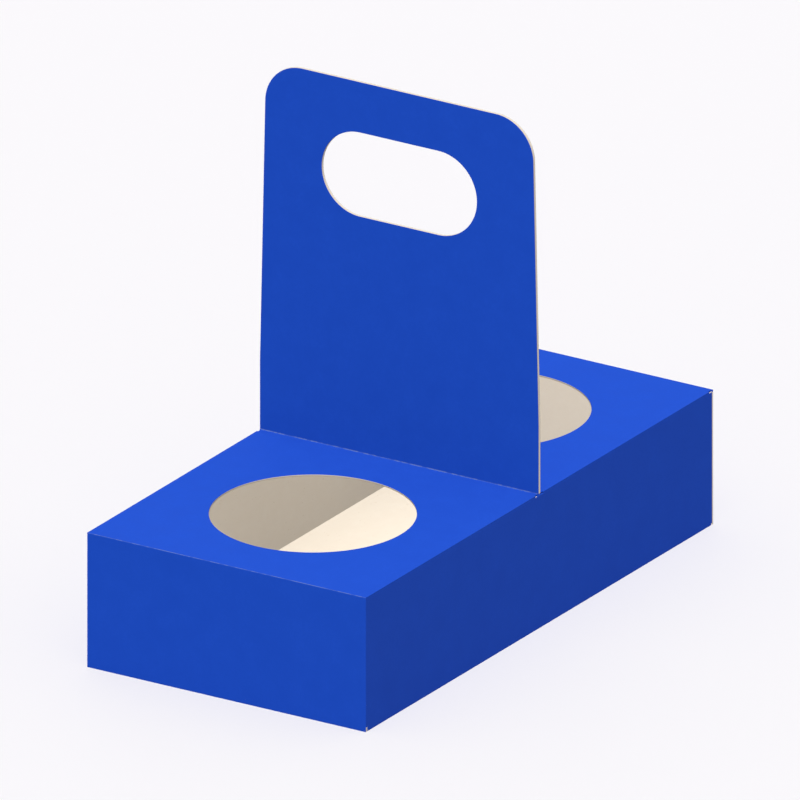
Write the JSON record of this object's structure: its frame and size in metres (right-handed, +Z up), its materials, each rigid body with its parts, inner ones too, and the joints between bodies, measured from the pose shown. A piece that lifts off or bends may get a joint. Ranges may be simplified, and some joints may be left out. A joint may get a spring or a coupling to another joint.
{
  "type": "cup carrier",
  "caption": "Folded paperboard carrier: a shallow box whose hinged decks have round cup holes, with a central upright handle made of two halves and a hand hole.",
  "frame": {"origin": "middle of the underside of the box, on the surface it stands on", "axes": "+Z up, +Y along the box from the front end panel to the rear one, +X across the box towards the right side wall, which has the side seam's tab"},
  "size_m": [0.12, 0.2394, 0.1988],
  "materials": {
    "printed_board": "coated board, offset printed in one blue, cream fibre on the back and cut edges",
    "inner_board": "uncoated cream fibre side",
    "adhesive": "dried water-based carton adhesive"
  },
  "bodies": {
    "box": {"front_end_panel": "printed_board", "right_side_wall": "printed_board", "left_side_wall": "printed_board", "rear_end_panel": "printed_board", "side_seam_tab": "printed_board", "floor_panel": "inner_board", "front_bottom_flap": "printed_board", "right_bottom_flap": "printed_board", "rear_bottom_flap": "printed_board", "front_right_crease": "printed_board", "front_left_crease": "printed_board", "rear_left_crease": "printed_board", "side_seam_crease": "printed_board", "floor_crease": "printed_board", "front_flap_crease": "printed_board", "right_flap_crease": "printed_board", "rear_flap_crease": "printed_board", "side_seam_glue": "adhesive", "front_flap_glue": "adhesive", "right_flap_glue": "adhesive", "rear_flap_glue": "adhesive", "front_deck_crease": "printed_board", "rear_deck_crease": "printed_board"},
    "front_deck": {"front_deck_panel": "printed_board", "front_handle_crease": "printed_board"},
    "rear_deck": {"rear_deck_panel": "printed_board", "rear_handle_crease": "printed_board"},
    "front_handle": {"front_handle_panel": "printed_board"},
    "rear_handle": {"rear_handle_panel": "printed_board"}
  },
  "joints": [
    {"name": "front_deck_fold", "type": "hinge", "parent": "box", "child": "front_deck", "pos_m": [0, -0.1197, 0.053], "axis": [1, 0, 0], "range_deg": [0, 90]},
    {"name": "rear_deck_fold", "type": "hinge", "parent": "box", "child": "rear_deck", "pos_m": [0, 0.1197, 0.053], "axis": [-1, 0, 0], "range_deg": [0, 90]},
    {"name": "front_handle_fold", "type": "hinge", "parent": "front_deck", "child": "front_handle", "pos_m": [0, -0.00075, 0.0531], "axis": [1, 0, 0], "range_deg": [0, 85]},
    {"name": "rear_handle_fold", "type": "hinge", "parent": "rear_deck", "child": "rear_handle", "pos_m": [0, 0.00075, 0.0531], "axis": [-1, 0, 0], "range_deg": [0, 85]}
  ]
}
